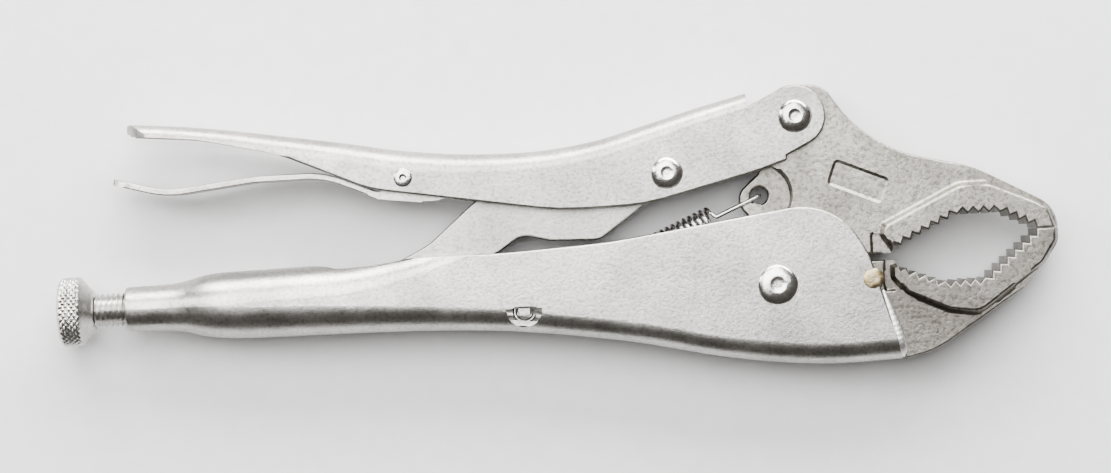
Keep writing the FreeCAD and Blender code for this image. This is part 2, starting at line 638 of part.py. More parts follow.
make_fixed_handle()
make_fixed_jaw()
make_weld_beads()
make_braze_plugs()
make_moving_jaw()
make_lever()
make_toggle_link()
make_release_lever()
dome_top = size("handle_width") / 2 + size("head_height")
flush_top = size("lever_width") / 2 + size("head_height") / 2
make_rivet("jaw_rivet", "jaw_rivet", "handle_width", dome_top, "0", "0")
for label, top in (("lever", dome_top), ("link", dome_top), ("release", flush_top)):
    make_rivet(f"{label}_rivet", f"{label}_rivet", "lever_width", top,
               f"Dimensions.{label}_pivot_x", f"Dimensions.{label}_pivot_y")
make_screw()
make_spring()
doc.recompute()

# the origin is below the middle of the whole object's box
box = FreeCAD.BoundBox()
for piece in pieces:
    box.add(piece.Shape.optimalBoundingBox())
for axis, shift in zip("xyz", (-box.Center.x, -box.Center.y, -box.ZMin)):
    sheet.set(sheet.getCellFromAlias(f"frame_shift_{axis}"), str(round(shift, 3)))
doc.recompute()

for item in doc.Objects:
    if "Invalid" in item.State or "Error" in item.State:
        raise RuntimeError(f"{item.Name} failed: {item.State}")
os.makedirs("parts", exist_ok=True)
for piece in pieces:
    if piece.Shape.isNull() or not piece.Shape.isValid():
        raise RuntimeError(f"{piece.Label} has no valid shape")
    piece.Shape.exportStep(f"parts/{piece.Label}.step")
    bounds = piece.Shape.optimalBoundingBox()
    print(f"{piece.Label}: {piece.Shape.Volume:.1f} mm3, {len(piece.Shape.Solids)} solid(s), "
          f"x {bounds.XMin:.2f}..{bounds.XMax:.2f}, y {bounds.YMin:.2f}..{bounds.YMax:.2f}, "
          f"z {bounds.ZMin:.2f}..{bounds.ZMax:.2f}")
print("frame shift", [size(f"frame_shift_{axis}") for axis in "xyz"])
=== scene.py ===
import math

import bmesh
import bpy
from mathutils import Matrix, Vector
from mathutils.bvhtree import BVHTree
from mathutils.kdtree import KDTree


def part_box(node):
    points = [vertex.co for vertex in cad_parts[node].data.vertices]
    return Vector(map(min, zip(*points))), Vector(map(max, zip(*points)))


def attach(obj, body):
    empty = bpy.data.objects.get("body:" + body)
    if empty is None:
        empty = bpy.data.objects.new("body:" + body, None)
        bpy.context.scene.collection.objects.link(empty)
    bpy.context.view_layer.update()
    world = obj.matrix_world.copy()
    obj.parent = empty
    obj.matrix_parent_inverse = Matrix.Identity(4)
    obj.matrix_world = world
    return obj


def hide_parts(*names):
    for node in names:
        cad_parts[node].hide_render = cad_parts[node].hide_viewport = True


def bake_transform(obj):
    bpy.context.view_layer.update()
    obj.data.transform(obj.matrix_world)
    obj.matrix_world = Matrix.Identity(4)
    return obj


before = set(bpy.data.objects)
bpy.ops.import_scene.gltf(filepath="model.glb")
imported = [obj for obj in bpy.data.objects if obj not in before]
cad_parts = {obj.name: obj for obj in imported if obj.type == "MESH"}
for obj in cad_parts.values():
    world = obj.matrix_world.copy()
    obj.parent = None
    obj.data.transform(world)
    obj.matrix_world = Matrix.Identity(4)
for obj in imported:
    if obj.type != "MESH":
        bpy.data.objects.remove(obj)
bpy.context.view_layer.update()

# Curved-jaw locking pliers. Outlines are in millimetres from the axis of the jaw rivet at mid
# thickness: x along the adjusting screw towards the jaws, y towards the lever, z the thickness.

MM = 0.001


def middle_of(node):
    low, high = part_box(node)
    return (low + high) / 2


ORIGIN = middle_of("jaw_rivet")


def pivot(node):
    """Where a rivet's axis is, in millimetres from the jaw rivet."""
    offset = (middle_of(node) - ORIGIN) / MM
    return Vector((offset.x, offset.y))


LEVER_PIVOT = pivot("lever_rivet")
LINK_PIVOT = pivot("link_rivet")
RELEASE_PIVOT = pivot("release_rivet")
SCREW_Y = pivot("screw_shank").y
FOOT_X = -100.6
SPRING_HOLE = Vector((-3.0, 20.9))
TAB = Vector((-59.2, -3.7))

HANDLE_HALF, HANDLE_WALL = 8.0, 2.4
LEVER_HALF, LEVER_WALL = 7.8, 2.2
JAW_HALF, PAD_HALF, EAR_HALF, TONGUE_HALF = 5.4, 7.2, 2.2, 5.6
PAD_SLOPE = 0.9
CUTTER_RELIEF = 1.2
TOOTH_DEPTH = 1.3
LINK_HALF, LINK_SHAFT = 3.5, 2.6
RELEASE_HALF, RELEASE_SHEET = 4.9, 1.5
DOME_TOP = 9.2
FRONT_TOP, FRONT_FOOT = Vector((21.75, 5.8)), Vector((29.2, -19.6))
SPINE_RADIUS = 5.0

# reaches for cutting solids: past the outlines, past the jaws' nose, and past both faces
FAR = 60.0
PAST_NOSE = 80.0
THROUGH = 20.0

# ---------------------------------------------------------------- materials


class Shader:
    """A small helper that adds and joins nodes of one material."""

    def __init__(self, name):
        self.material = bpy.data.materials.new(name)
        self.material.use_nodes = True
        self.nodes = self.material.node_tree.nodes
        self.links = self.material.node_tree.links
        self.surface = self.nodes["Principled BSDF"]
        self.coords = self.nodes.new("ShaderNodeTexCoord").outputs["Object"]

    def join(self, source, target):
        self.links.new(source, target)

    def noise(self, scale, detail=4.0, rough=0.55, stretch=(1, 1, 1)):
        """A cloudy pattern, whose value stays mostly between 0.3 and 0.7."""
        mapping = self.nodes.new("ShaderNodeMapping")
        mapping.inputs["Scale"].default_value = stretch
        # turned, so that no flat face lies along the noise's own grid
        mapping.inputs["Rotation"].default_value = (0.53, 0.81, 0.37)
        self.join(self.coords, mapping.inputs["Vector"])
        node = self.nodes.new("ShaderNodeTexNoise")
        node.inputs["Scale"].default_value = scale
        node.inputs["Detail"].default_value = detail
        node.inputs["Roughness"].default_value = rough
        self.join(mapping.outputs["Vector"], node.inputs["Vector"])
        return node.outputs["Fac"]

    def ramp(self, source, stops):
        """Turn a value into a colour, by (position, colour) stops."""
        node = self.nodes.new("ShaderNodeValToRGB")
        ends = node.color_ramp.elements
        ends[0].position, ends[0].color = stops[0][0], (*stops[0][1], 1)
        ends[1].position, ends[1].color = stops[-1][0], (*stops[-1][1], 1)
        for position, colour in stops[1:-1]:
            ends.new(position).color = (*colour, 1)
        self.join(source, node.inputs["Fac"])
        return node.outputs["Color"]

    def spread(self, source, low, high):
        """Stretch a noise to run from low to high."""
        node = self.nodes.new("ShaderNodeMapRange")
        for name, value in (("From Min", 0.3), ("From Max", 0.7), ("To Min", low), ("To Max", high)):
            node.inputs[name].default_value = value
        self.join(source, node.inputs["Value"])
        return node.outputs["Result"]

    def multiplied(self, first, second, factor):
        """Multiply one colour by another. The node's colour sockets come after its other ones."""
        node = self.nodes.new("ShaderNodeMix")
        node.data_type = "RGBA"
        node.blend_type = "MULTIPLY"
        node.inputs[0].default_value = factor
        self.join(first, node.inputs[6])
        self.join(second, node.inputs[7])
        return node.outputs[2]

    def bump(self, layers):
        """Stack bumps, each (height, strength, depth in metres)."""
        normal = None
        for height, strength, depth in layers:
            node = self.nodes.new("ShaderNodeBump")
            node.inputs["Strength"].default_value = strength
            node.inputs["Distance"].default_value = depth
            self.join(height, node.inputs["Height"])
            if normal is not None:
                self.join(normal, node.inputs["Normal"])
            normal = node.outputs["Normal"]
        self.join(normal, self.surface.inputs["Normal"])


def plated_steel(name, dark, light, rough, pits, grain=1300, stain=0.25):
    """Nickel plate: a cloudy grey, finer grain, pits that show through, and small stains."""
    shader = Shader(name)
    cloud = shader.noise(75, 4, 0.6)
    fine = shader.noise(grain, 4, 0.6)
    colour = shader.ramp(cloud, [(0.35, dark), (0.65, light)])
    speckle = shader.ramp(fine, [(0.36, (0.50, 0.48, 0.45)), (0.47, (0.86, 0.85, 0.83)),
                                 (0.60, (1, 1, 1))])
    colour = shader.multiplied(colour, speckle, pits)
    tarnish = shader.ramp(shader.noise(34, 6, 0.65), [(0.54, (1, 1, 1)), (0.70, (0.74, 0.66, 0.54))])
    colour = shader.multiplied(colour, tarnish, stain)
    shader.join(colour, shader.surface.inputs["Base Color"])
    shader.surface.inputs["Metallic"].default_value = 1.0
    shader.join(shader.spread(shader.noise(160, 5, 0.6), rough - 0.04, rough + 0.06),
                shader.surface.inputs["Roughness"])
    shader.bump([(fine, 0.30 * pits, 0.0003), (shader.noise(300, 3), 0.06 * pits, 0.0006)])
    return shader.material


def bright_wire():
    """Drawn wire: bright, with faint lines along its length."""
    shader = Shader("bright_wire")
    lines = shader.noise(900, 3, stretch=(0.2, 1, 1))
    shader.join(shader.ramp(lines, [(0.3, (0.58, 0.57, 0.56)), (0.7, (0.86, 0.85, 0.83))]),
                shader.surface.inputs["Base Color"])
    shader.surface.inputs["Metallic"].default_value = 1.0
    shader.join(shader.spread(lines, 0.16, 0.3), shader.surface.inputs["Roughness"])
    shader.bump([(lines, 0.08, 0.0002)])
    return shader.material


def braze_metal():
    """Brassy filler under a thin plate that has worn off in patches."""
    shader = Shader("braze_metal")
    patches = shader.noise(700, 4)
    colour = shader.ramp(patches, [(0.38, (0.36, 0.28, 0.15)), (0.55, (0.48, 0.42, 0.28)),
                                   (0.68, (0.60, 0.56, 0.44))])
    shader.join(colour, shader.surface.inputs["Base Color"])
    shader.surface.inputs["Metallic"].default_value = 1.0
    shader.join(shader.spread(patches, 0.25, 0.45), shader.surface.inputs["Roughness"])
    shader.bump([(patches, 0.3, 0.0004)])
    return shader.material


def pale_floor():
    """A matt pale surface with a very faint grain."""
    shader = Shader("pale_floor")
    grain = shader.noise(220, 4)
    shader.join(shader.ramp(grain, [(0.3, (0.90, 0.90, 0.905)), (0.7, (0.94, 0.94, 0.945))]),
                shader.surface.inputs["Base Color"])
    shader.surface.inputs["Roughness"].default_value = 0.75
    shader.bump([(grain, 0.03, 0.0005)])
    return shader.material


SHEET = plated_steel("nickel_on_sheet", (0.47, 0.46, 0.44), (0.63, 0.62, 0.60), rough=0.33, pits=0.55)
LEVER = plated_steel("nickel_on_lever", (0.41, 0.40, 0.38), (0.55, 0.54, 0.52), rough=0.34, pits=0.6)
FORGED = plated_steel("nickel_on_forging", (0.30, 0.285, 0.262), (0.44, 0.424, 0.395),
                      rough=0.38, pits=0.8, grain=1000, stain=0.5)
# a darker copy of the forging's plating for the lower jaw: painted shade, for the light falling off
# towards the lower part of the tool
PAINTED_SHADE_LOWER_JAW = plated_steel("nickel_on_lower_jaw_painted_shade", (0.23, 0.217, 0.198), (0.34, 0.326, 0.302),
                         rough=0.38, pits=0.8, grain=1000, stain=0.5)
LINK = plated_steel("nickel_on_link", (0.42, 0.41, 0.395), (0.54, 0.53, 0.51),
                    rough=0.36, pits=0.5, stain=0.4)
RIVET = plated_steel("rivet_metal", (0.58, 0.56, 0.53), (0.84, 0.83, 0.81),
                     rough=0.20, pits=0.5, stain=0.5)
SCREW = plated_steel("screw_metal", (0.54, 0.53, 0.51), (0.70, 0.69, 0.67), rough=0.28, pits=0.4)
WELD = plated_steel("weld_metal", (0.86, 0.85, 0.83), (0.95, 0.94, 0.92),
                    rough=0.42, pits=0.2, grain=1200, stain=0.1)
WIRE = bright_wire()
BRAZE = braze_metal()

# ---------------------------------------------------------------- mesh helpers


def rounded(corners, degrees=7.5):
    """The points of a closed outline whose corners are (x, y) or (x, y, radius)."""
    points = []
    for i, corner in enumerate(corners):
        point = Vector(corner[:2])
        radius = corner[2] if len(corner) == 3 else 0
        if not radius:
            points.append(point)
            continue
        behind = (Vector(corners[i - 1][:2]) - point).normalized()
        ahead = (Vector(corners[(i + 1) % len(corners)][:2]) - point).normalized()
        half_angle = behind.angle(ahead) / 2
        centre = point + (behind + ahead).normalized() * (radius / math.sin(half_angle))
        start = point + behind * (radius / math.tan(half_angle)) - centre
        end = point + ahead * (radius / math.tan(half_angle)) - centre
        turn = start.angle_signed(end)
        steps = max(2, math.ceil(abs(math.degrees(turn)) / degrees))
        for k in range(steps + 1):
            points.append(centre + Matrix.Rotation(-turn * k / steps, 2) @ start)
    return points


def object_from(name, bm):
    """Make an object of a mesh in work, with its faces turned outwards."""
    mesh = bpy.data.meshes.new(name)
    bmesh.ops.recalc_face_normals(bm, faces=bm.faces)
    bm.to_mesh(mesh)
    bm.free()
    obj = bpy.data.objects.new(name, mesh)
    bpy.context.scene.collection.objects.link(obj)
    return obj


def loft(name, rings):
    """A skin through rings of points, capped at both ends."""
    bm = bmesh.new()
    rows = [[bm.verts.new(p) for p in ring] for ring in rings]
    count = len(rows[0])
    for first, second in zip(rows, rows[1:]):
        for k in range(count):
            j = (k + 1) % count
            bm.faces.new((first[k], first[j], second[j], second[k]))
    bm.faces.new(rows[0])
    bm.faces.new(rows[-1])
    return object_from(name, bm)


def prism(name, corners, low, high, along="z"):
    """An outline pushed from low to high along z, or along y with the outline in x and z."""
    points = rounded(corners)
    if along == "z":
        rings = [[(p.x, p.y, level) for p in points] for level in (low, high)]
    else:
        rings = [[(p.x, level, p.y) for p in points] for level in (low, high)]
    return loft(name, rings)


def inset(points, distance):
    """A closed outline moved inwards, or the points as they are where the distance is 0."""
    turned = sum(a.cross(b) for a, b in zip(points, points[1:] + points[:1]))
    inwards = math.copysign(distance, turned)
    result = []
    for i, point in enumerate(points):
        behind = (point - points[i - 1]).normalized()
        ahead = (points[(i + 1) % len(points)] - point).normalized()
        first = Vector((-behind.y, behind.x))
        middle = (first + Vector((-ahead.y, ahead.x))).normalized()
        result.append(point + middle * (inwards / middle.dot(first)))
    return result


def sloped(name, corners, levels):
    """A solid whose outline is moved in by some distance at each (level, distance)."""
    points = rounded(corners)
    return loft(name, [[(p.x, p.y, level) for p in inset(points, distance)]
                       for level, distance in levels])


def bite_pad(corners):
    """A jaw's pad: it stands proud of the forging on both faces, and its sides slope in."""
    return sloped("bite_pad", corners, ((-PAD_HALF, PAD_SLOPE), (-JAW_HALF, 0), (JAW_HALF, 0),
                                        (PAD_HALF, PAD_SLOPE)))


def disc(name, centre, diameter, low, high, sides=48):
    """A cylinder along z."""
    rings = []
    for level in (low, high):
        rings.append([(centre[0] + diameter / 2 * math.cos(math.tau * k / sides),
                       centre[1] + diameter / 2 * math.sin(math.tau * k / sides), level)
                      for k in range(sides)])
    return loft(name, rings)


def lathe(name, profile, sides=64, shape=None):
    """A solid of revolution about x from (x, radius) points; shape may change (x, radius, angle)."""
    rings = []
    for x, radius in profile:
        ring = []
        for k in range(sides):
            angle = math.tau * k / sides
            here = shape(x, radius, angle) if shape else radius
            ring.append((x, here * math.cos(angle), here * math.sin(angle)))
        rings.append(ring)
    return loft(name, rings)


def rod(name, start, end, radius, y):
    """A cylinder along x, at a height of y."""
    solid = lathe(name, [(start, radius), (end, radius)], 48)
    solid.data.transform(Matrix.Translation((0, y, 0)))
    return solid


def combine(obj, other, operation="DIFFERENCE"):
    """Cut another solid away from obj, or join it on, and drop the other one."""
    modifier = obj.modifiers.new("combine", "BOOLEAN")
    modifier.object = other
    modifier.operation = operation
    modifier.solver = "EXACT"
    bpy.context.view_layer.update()
    result = obj.evaluated_get(bpy.context.evaluated_depsgraph_get())
    mesh = bpy.data.meshes.new_from_object(result)
    obj.modifiers.clear()
    obj.data = mesh
    bpy.data.objects.remove(other)


def folds_in(bm, before, width):
    """Points where a rounding overshot the surface it started from, or turned a face over."""
    overshoot, least_area, least_turn = 0.5 * width, 0.001, 0.2
    points = [vert.co for vert in bm.verts if before.find_nearest(vert.co)[3] > overshoot]
    for corners in bm.calc_loop_triangles():
        first, second, third = [corner.vert.co for corner in corners]
        normal = (second - first).cross(third - first)
        if normal.length < least_area:
            continue
        along_face = normal.dot(corners[0].face.normal) / normal.length
        along_before = normal.dot(before.find_nearest((first + second + third) / 3)[1]) / normal.length
        if along_face < least_turn or along_before < -least_turn:
            points += [first, second, third]
    return points


def flatten_bent_faces(bm):
    """Split the many-sided faces that aren't flat into triangles."""
    out_of_flat = 0.06
    bent = []
    for face in bm.faces:
        if len(face.verts) > 4:
            middle = face.calc_center_median()
            if max(abs((vert.co - middle).dot(face.normal)) for vert in face.verts) > out_of_flat:
                bent.append(face)
    bmesh.ops.triangulate(bm, faces=bent)


def soften(obj, width, segments=3, rims_only=False):
    """Round the sharp edges: all of them, or only those that lie in a plane of constant z.

    A stretch of edge whose rounding would fold the surface over stays sharp."""
    sliver, longest, tries = 0.004, 3.0, 12
    sharpest = math.radians(40)
    plain = bmesh.new()
    plain.from_mesh(obj.data)
    bmesh.ops.remove_doubles(plain, verts=plain.verts, dist=sliver)
    bmesh.ops.dissolve_degenerate(plain, edges=plain.edges, dist=sliver)
    flatten_bent_faces(plain)

    def sharp_edges():
        for edge in plain.edges:
            level = abs(edge.verts[0].co.z - edge.verts[1].co.z) < 0.01
            if len(edge.link_faces) == 2 and (level or not rims_only):
                if edge.calc_face_angle(0) > sharpest:
                    yield edge

    for edge in [e for e in sharp_edges() if e.calc_length() > longest]:
        bmesh.ops.subdivide_edges(plain, edges=[edge], cuts=int(edge.calc_length() / longest))
    plain.edges.index_update()
    chosen = [edge.index for edge in sharp_edges()]
    before = BVHTree.FromBMesh(plain)
    for _ in range(tries):
        bm = plain.copy()
        bm.edges.ensure_lookup_table()
        bmesh.ops.bevel(bm, geom=[bm.edges[i] for i in chosen], offset=width, segments=segments,
                        profile=0.5, affect="EDGES", clamp_overlap=False)
        bm.normal_update()
        flatten_bent_faces(bm)
        folds = folds_in(bm, before, width)
        if not folds:
            break
        near = KDTree(len(folds))
        for i, point in enumerate(folds):
            near.insert(point, i)
        near.balance()
        plain.edges.ensure_lookup_table()
        chosen = [i for i in chosen
                  if min(near.find(vert.co)[2] for vert in plain.edges[i].verts) > 2 * width]
    bmesh.ops.remove_doubles(bm, verts=bm.verts, dist=sliver / 2)
    bm.to_mesh(obj.data)
    bm.free()
    plain.free()


def shade(obj, smooth):
    """Smooth shading that keeps flat faces flat, right up to their edges."""
    obj.data.shade_smooth()
    obj.data.set_sharp_from_angle(angle=math.radians(smooth))
    weighted = obj.modifiers.new("even_normals", "WEIGHTED_NORMAL")
    weighted.keep_sharp = True
    bpy.context.view_layer.update()
    result = obj.evaluated_get(bpy.context.evaluated_depsgraph_get())
    mesh = bpy.data.meshes.new_from_object(result)
    obj.modifiers.clear()
    normals = [corner.vector.copy() for corner in mesh.corner_normals]
    # where a rounding stops short, a corner can lean away from its face: it is set upright
    furthest, flat_on = math.cos(math.radians(40)), 0.9999
    for face in mesh.polygons:
        level = abs(face.normal.z) > flat_on
        for corner in face.loop_indices:
            if level or normals[corner].dot(face.normal) < furthest:
                normals[corner] = face.normal.copy()
    mesh.normals_split_custom_set(normals)
    obj.data = mesh


def finish_piece(obj, material, body, nodes, smooth=32):
    """Scale and move to the row frame, shade, give the material, hang it on its body's empty, and hide
    the CAD parts it stands for.
    """
    obj.data.transform(Matrix.Translation(ORIGIN) @ Matrix.Scale(MM, 4))
    obj.data.materials.clear()
    obj.data.materials.append(material)
    shade(obj, smooth)
    if body:
        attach(obj, body)
    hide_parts(*nodes)


def teeth(start, end, count, depth):
    """Saw teeth from start to end: valleys lie to the left of that direction, by depth."""
    start, end = Vector(start), Vector(end)
    run = end - start
    left = Vector((-run.y, run.x)).normalized() * depth
    points = []
    for i in range(count):
        points.append(start + run * ((i + 0.5) / count) + left)
        points.append(start + run * ((i + 1) / count))
    return points


def eased(stations, spacing):
    """More stations between the given ones, on a smooth curve through them."""
    result = []
    last = len(stations) - 1
    for i in range(last):
        before, here = stations[max(i - 1, 0)], stations[i]
        there, after = stations[i + 1], stations[min(i + 2, last)]
        span = there[0] - here[0]
        steps = max(1, round(span / spacing))
        for k in range(steps):
            t = k / steps
            row = [here[0] + span * t]
            for value in range(1, len(here)):
                leave = (there[value] - before[value]) / (there[0] - before[0]) * span
                arrive = (after[value] - here[value]) / (after[0] - here[0]) * span
                row.append((2 * t ** 3 - 3 * t ** 2 + 1) * here[value]
                           + (t ** 3 - 2 * t ** 2 + t) * leave
                           + (3 * t ** 2 - 2 * t ** 3) * there[value]
                           + (t ** 3 - t ** 2) * arrive)
            result.append(tuple(row))
    return result + [stations[last]]


def channel(name, stations):
    """A loft through rounded rectangles, each (x, half width, low, high, low radius, high radius)."""
    steps = 8
    rings = []
    for x, half, low, high, low_radius, high_radius in stations:
        ring = []
        for y, z, radius, first in ((low, -half, low_radius, 180), (high, -half, high_radius, 270),
                                    (high, half, high_radius, 0), (low, half, low_radius, 90)):
            centre = Vector((y + radius * (1 if y == low else -1), z + radius * (1 if z < 0 else -1)))
            for k in range(steps + 1):
                angle = math.radians(first + 90 * k / steps)
                ring.append((x, centre.x + radius * math.cos(angle), centre.y + radius * math.sin(angle)))
        rings.append(ring)
    return loft(name, rings)


def shrunk(stations, wall):
    """The inside of a channel whose sheet is that thick."""
    least = 0.6
    return [(x, half - wall, low + wall, high - wall, max(low_radius - wall, least),
             max(high_radius - wall, least))
            for x, half, low, high, low_radius, high_radius in stations]


def tube(name, path, radius, sides=12):
    """A round wire along a path of points, carried along without twisting."""
    rings = []
    side = Vector((0, 1, 0))
    for i, point in enumerate(path):
        ahead = (path[min(i + 1, len(path) - 1)] - path[max(i - 1, 0)]).normalized()
        side = (side - ahead * side.dot(ahead)).normalized()
        up = ahead.cross(side)
        rings.append([point + (side * math.cos(math.tau * k / sides)
                               + up * math.sin(math.tau * k / sides)) * radius
                      for k in range(sides)])
    return loft(name, rings)


# ---------------------------------------------------------------- handle and fixed jaw


def fixed_handle():
    """The pressed channel: a tube round the screw at the rear, opening to two deep cheeks."""
    roundness = 0.97
    neck = [(x, radius, SCREW_Y - radius, SCREW_Y + radius, roundness * radius, roundness * radius)
            for x, radius in ((-152.6, 5.2), (-149.0, 5.3), (-143.0, 5.45), (-139.0, 5.9),
                              (-135.5, 6.9), (-131.5, 7.6))]
    grip = [
        (-126.0, 7.9, -6.8, 9.0, 7.4, 7.4), (-112.0, 8, -6.9, 9.3, 7.2, 7.2),
        (-98.0, 8, -6.9, 9.7, 6.6, 6.8), (-82.0, 8, -7.1, 12.0, 6.0, 5.4),
        (-65.0, 8, -7.9, 16.0, 5.4, 4.0), (-50.0, 8, -9.5, 20.0, SPINE_RADIUS, 3.4),
        (-32.0, 8, -12.3, 23.0, SPINE_RADIUS, 3.2), (-11.0, 8, -16.7, 25.0, SPINE_RADIUS, 3.2),
        (10.0, 8, -19.05, 25.0, SPINE_RADIUS, 3.2), (33.0, 8, -18.6, 25.0, SPINE_RADIUS, 3.2),
    ]
    stations = eased(neck + grip, 2.0)
    shell = channel("fixed_handle_shell", stations)
    hollow_start = -134
    hollow = shrunk([s for s in stations if s[0] >= hollow_start], HANDLE_WALL)
    hollow.append((36.0,) + hollow[-1][1:])
    combine(shell, channel("hollow", hollow))
    combine(shell, rod("bore", -170, hollow_start + 3, 4.1, SCREW_Y))
    below = FRONT_FOOT + (FRONT_FOOT - FRONT_TOP) * 0.2
    combine(shell, prism("above_the_edge", [
        (-101, FAR), (-101, 9.9), (-64, 10.3, 150), (-39, 11.6, 120), (14.3, 19.3, 16),
        (*FRONT_TOP, 10), (*below,), (FAR, below.y), (FAR, FAR)], -THROUGH, THROUGH))
    inner = HANDLE_HALF - HANDLE_WALL - 0.2
    combine(shell, prism("mouth", [
        (-138.5, -0.6, 0.5), (-110, -0.7), (-103.5, -4.6, 3), (-90, -inner, 10), (FAR, -inner),
        (FAR, inner), (-90, inner, 10), (-103.5, 4.6, 3), (-110, 0.7), (-138.5, 0.6, 0.5),
    ], 3, 30, "y"))
    window_top = TAB.y + 0.9
    reach, depth, round_end = 4.2, 4.4, 4.1
    combine(shell, prism("tab_window", [
        (TAB.x - reach, window_top), (TAB.x - reach, window_top - depth, round_end),
        (TAB.x + reach, window_top - depth, round_end), (TAB.x + reach, window_top)], 4, 12))
    soften(shell, 0.5)
    finish_piece(shell, SHEET, "frame", ["fixed_handle"])
    half = 1.4
    tab = prism("spring_tab", [
        (TAB.x - half, window_top + 0.4), (TAB.x - half, window_top - 1.8, 0.5),
        (TAB.x + half, window_top - 1.8, 0.5), (TAB.x + half, window_top + 0.4)], 1.7, 7.6)
    soften(tab, 0.2, segments=2)
    finish_piece(tab, SHEET, "frame", [])


def relieve(jaw, corners, half):
    """Sink an outline into both faces of a jaw, beside its wire cutter."""
    for low, high in ((half - CUTTER_RELIEF, half + 1), (-half - 1, CUTTER_RELIEF - half)):
        combine(jaw, prism("cutter_relief", corners, low, high))


def fixed_jaw():
    """The forged lower jaw with its proud toothed pad."""
    tongue = FRONT_TOP + (FRONT_FOOT - FRONT_TOP) * 0.83
    recess = 11.1
    jaw = prism("fixed_jaw_forging", [
        (27.3, 4.4), (recess, 4.4), (recess, -recess, recess), (-1.5, -recess), (-1.5, -13.2, 1),
        (tongue.x, -15.2), (FRONT_FOOT.x + 0.2, -18.7), (36.5, -17.1, 20),
        (57.5, -3.6, 15), (66.0, 6.7, 5), (66.0, 12.0), (60.9, 12.0), (48.3, 1.5), (39.1, 1.0),
    ], -TONGUE_HALF, TONGUE_HALF)
    relieve(jaw, [(25.2, 6.0), (25.2, -2.7, 0.6), (29.0, -2.7), (29.0, 6.0)], TONGUE_HALF)
    combine(jaw, bite_pad([
        (26.6, 3.3), (26.6, 0.2, 1.5), (30.0, -3.8, 3), (39.8, -8.3, 6), (47.2, -9.3, 6),
        (62.6, 1.9, 4), (66.0, 7.2, 3), (66.0, 12.0), (60.9, 12.0)]), "UNION")
    heel, first_bend, second_bend, nose = (28.0, 3.3), (39.1, -0.9), (48.3, -0.6), (60.9, 10.25)
    bite = [heel] + teeth(heel, first_bend, 5, -TOOTH_DEPTH)
    bite += teeth(first_bend, second_bend, 4, -TOOTH_DEPTH) + teeth(second_bend, nose, 7, -TOOTH_DEPTH)
    bite += [(PAST_NOSE, nose[1]), (PAST_NOSE, 30), (heel[0], 30)]
    combine(jaw, prism("bite", bite, -THROUGH, THROUGH))
    soften(jaw, 0.5, rims_only=True)
    # the lower jaw gets the darker copy of the forging's plating, which is painted shade
    finish_piece(jaw, PAINTED_SHADE_LOWER_JAW, "frame", ["fixed_jaw"])


def weld_beads():
    """A rippled bead on each side, thin at its upper end and thicker towards the spine."""
    run = (FRONT_FOOT - FRONT_TOP).normalized()
    across = Vector((-run.y, run.x))
    start = FRONT_TOP + run * 8.6
    length, steps, sides = 16.6, 90, 20
    corner_y, sunk, flatness = -13.8, 0.85, 0.72
    for name, side in (("weld_bead_top", 1), ("weld_bead_bottom", -1)):
        rings = []
        for i in range(steps + 1):
            t = i / steps
            swell = math.sin(math.pi * t) ** 0.35 if 0 < t < 1 else 0.05
            ripple = 1 + 0.045 * abs(math.sin(t * math.pi * 13 + 0.6 * math.sin(9 * t)))
            reach = (0.7 + 0.95 * t) * swell * ripple
            centre = start + run * (length * t) + Vector((0.3, 0.1))
            # the bead follows the cheek, and bends down over the spine's rounded corner
            past = min(SPINE_RADIUS - 0.3, max(0, corner_y - centre.y))
            level = HANDLE_HALF - SPINE_RADIUS + math.sqrt(SPINE_RADIUS ** 2 - past ** 2) - sunk
            ring = []
            for k in range(sides):
                angle = math.tau * k / sides
                point = centre + across * math.cos(angle) * reach
                ring.append((point.x, point.y, side * (level + math.sin(angle) * reach * flatness)))
            rings.append(ring)
        finish_piece(loft(name, rings), WELD, "frame", ["weld_beads"], 60)


def braze_plugs():
    """Slightly domed spots of braze in the cheeks' front edge."""
    for name, side in (("braze_spot_top", 1), ("braze_spot_bottom", -1)):
        profile = [(0, 0.01), (0.0, 2.7), (1.5, 2.7), (2.25, 2.5), (2.45, 2.0), (2.5, 1.2), (2.45, 0.01)]
        spot = lathe(name, profile, 40)
        turn = Matrix.Rotation(math.radians(-90 * side), 4, "Y")
        spot.data.transform(Matrix.Translation((22.2, 0.3, side * 5.65)) @ turn)
        finish_piece(spot, BRAZE, "frame", ["braze_plugs"])


# ---------------------------------------------------------------- moving jaw


